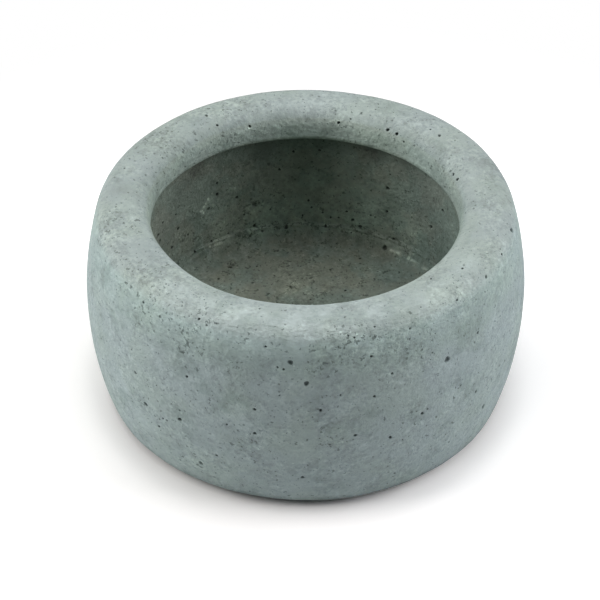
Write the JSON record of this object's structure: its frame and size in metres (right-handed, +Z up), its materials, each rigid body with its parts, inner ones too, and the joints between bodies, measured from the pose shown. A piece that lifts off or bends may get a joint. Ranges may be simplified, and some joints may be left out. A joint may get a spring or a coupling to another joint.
{
  "type": "bowl planter",
  "caption": "Round cast-concrete bowl planter with a wide rolled rim, an undercut cavity, a drain hole with a rubber stopper, and stick-on pads under the base.",
  "frame": {"origin": "on the surface that the planter stands on, under the centre of the bowl", "axes": "+Z up along the bowl's axis; the bowl is round, so X and Y follow the picture's view, which looks along +Y and down"},
  "size_m": [0.2, 0.2, 0.1005],
  "materials": {
    "concrete": "bare cast concrete, matt, grey-green with darker and bluer patches, fine sand speckle and small air holes",
    "stopper_rubber": "moulded black rubber, satin",
    "pad_rubber": "die-cut foam rubber, matt"
  },
  "bodies": {
    "planter": {"bowl": "concrete", "foot_pad_1": "pad_rubber", "foot_pad_2": "pad_rubber", "foot_pad_3": "pad_rubber", "foot_pad_4": "pad_rubber"},
    "stopper": {"drain_plug": "stopper_rubber"}
  },
  "joints": [
    {"name": "plug_lift", "type": "slide", "parent": "planter", "child": "stopper", "axis": [0, 0, 1], "range_m": [0, 0.018]}
  ]
}
